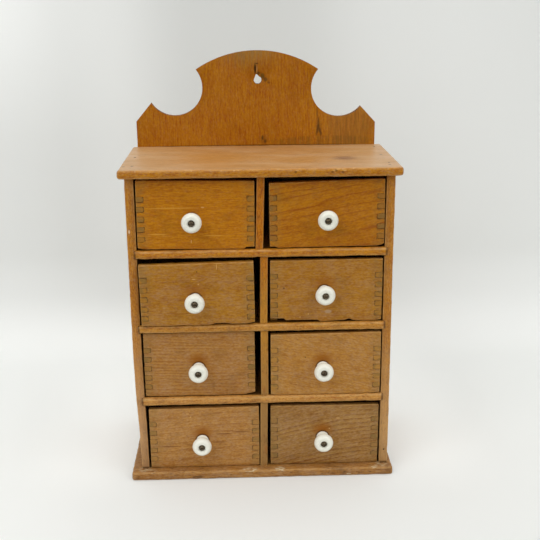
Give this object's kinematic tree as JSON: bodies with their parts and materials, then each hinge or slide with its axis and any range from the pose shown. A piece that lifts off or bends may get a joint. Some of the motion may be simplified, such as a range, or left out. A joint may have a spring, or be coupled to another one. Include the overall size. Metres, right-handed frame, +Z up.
{
  "type": "spice cabinet",
  "caption": "Small wooden wall cabinet with finger-jointed drawers on porcelain knobs and a shaped crest with a hanging hole.",
  "frame": {"origin": "on the floor, in the middle of the space that the cabinet takes up, knobs included", "axes": "+Z up, +Y from the drawers' knobs to the wall, +X to the right as seen from the front"},
  "size_m": [0.2691, 0.1598, 0.4218],
  "materials": {
    "case_wood": "satin",
    "top_wood": "satin",
    "base_wood": "satin",
    "crest_wood": "satin",
    "drawer_front_wood": "satin",
    "drawer_box_wood": "matte",
    "drawer_bottom_wood": "matte",
    "knob_porcelain": "gloss",
    "screw_steel": "satin",
    "nail_iron": "matte"
  },
  "bodies": {
    "case": {"left_side": "case_wood", "right_side": "case_wood", "top_board": "top_wood", "base_board": "base_wood", "backboard": "crest_wood", "shelf_1": "case_wood", "shelf_2": "case_wood", "shelf_3": "case_wood", "dividers": "case_wood", "case_nails": "nail_iron"},
    "drawer_1l": {"drawer_1l_front": "drawer_front_wood", "drawer_1l_sides": "drawer_box_wood", "drawer_1l_back": "drawer_box_wood", "drawer_1l_bottom": "drawer_bottom_wood", "drawer_1l_knob": "knob_porcelain", "drawer_1l_screw": "screw_steel"},
    "drawer_1r": {"drawer_1r_front": "drawer_front_wood", "drawer_1r_sides": "drawer_box_wood", "drawer_1r_back": "drawer_box_wood", "drawer_1r_bottom": "drawer_bottom_wood", "drawer_1r_knob": "knob_porcelain", "drawer_1r_screw": "screw_steel"},
    "drawer_2l": {"drawer_2l_front": "drawer_front_wood", "drawer_2l_sides": "drawer_box_wood", "drawer_2l_back": "drawer_box_wood", "drawer_2l_bottom": "drawer_bottom_wood", "drawer_2l_knob": "knob_porcelain", "drawer_2l_screw": "screw_steel"},
    "drawer_2r": {"drawer_2r_front": "drawer_front_wood", "drawer_2r_sides": "drawer_box_wood", "drawer_2r_back": "drawer_box_wood", "drawer_2r_bottom": "drawer_bottom_wood", "drawer_2r_knob": "knob_porcelain", "drawer_2r_screw": "screw_steel"},
    "drawer_3l": {"drawer_3l_front": "drawer_front_wood", "drawer_3l_sides": "drawer_box_wood", "drawer_3l_back": "drawer_box_wood", "drawer_3l_bottom": "drawer_bottom_wood", "drawer_3l_knob": "knob_porcelain", "drawer_3l_screw": "screw_steel"},
    "drawer_3r": {"drawer_3r_front": "drawer_front_wood", "drawer_3r_sides": "drawer_box_wood", "drawer_3r_back": "drawer_box_wood", "drawer_3r_bottom": "drawer_bottom_wood", "drawer_3r_knob": "knob_porcelain", "drawer_3r_screw": "screw_steel"},
    "drawer_4l": {"drawer_4l_front": "drawer_front_wood", "drawer_4l_sides": "drawer_box_wood", "drawer_4l_back": "drawer_box_wood", "drawer_4l_bottom": "drawer_bottom_wood", "drawer_4l_knob": "knob_porcelain", "drawer_4l_screw": "screw_steel"},
    "drawer_4r": {"drawer_4r_front": "drawer_front_wood", "drawer_4r_sides": "drawer_box_wood", "drawer_4r_back": "drawer_box_wood", "drawer_4r_bottom": "drawer_bottom_wood", "drawer_4r_knob": "knob_porcelain", "drawer_4r_screw": "screw_steel"}
  },
  "joints": [
    {"name": "drawer_1l_slide", "type": "slide", "parent": "case", "child": "drawer_1l", "axis": [0, -1, 0], "range_m": [0, 0.1]},
    {"name": "drawer_1r_slide", "type": "slide", "parent": "case", "child": "drawer_1r", "axis": [0, -1, 0], "range_m": [0, 0.1]},
    {"name": "drawer_2l_slide", "type": "slide", "parent": "case", "child": "drawer_2l", "axis": [0, -1, 0], "range_m": [0, 0.1]},
    {"name": "drawer_2r_slide", "type": "slide", "parent": "case", "child": "drawer_2r", "axis": [0, -1, 0], "range_m": [0, 0.1]},
    {"name": "drawer_3l_slide", "type": "slide", "parent": "case", "child": "drawer_3l", "axis": [0, -1, 0], "range_m": [0, 0.1]},
    {"name": "drawer_3r_slide", "type": "slide", "parent": "case", "child": "drawer_3r", "axis": [0, -1, 0], "range_m": [0, 0.1]},
    {"name": "drawer_4l_slide", "type": "slide", "parent": "case", "child": "drawer_4l", "axis": [0, -1, 0], "range_m": [0, 0.1]},
    {"name": "drawer_4r_slide", "type": "slide", "parent": "case", "child": "drawer_4r", "axis": [0, -1, 0], "range_m": [0, 0.1]}
  ]
}
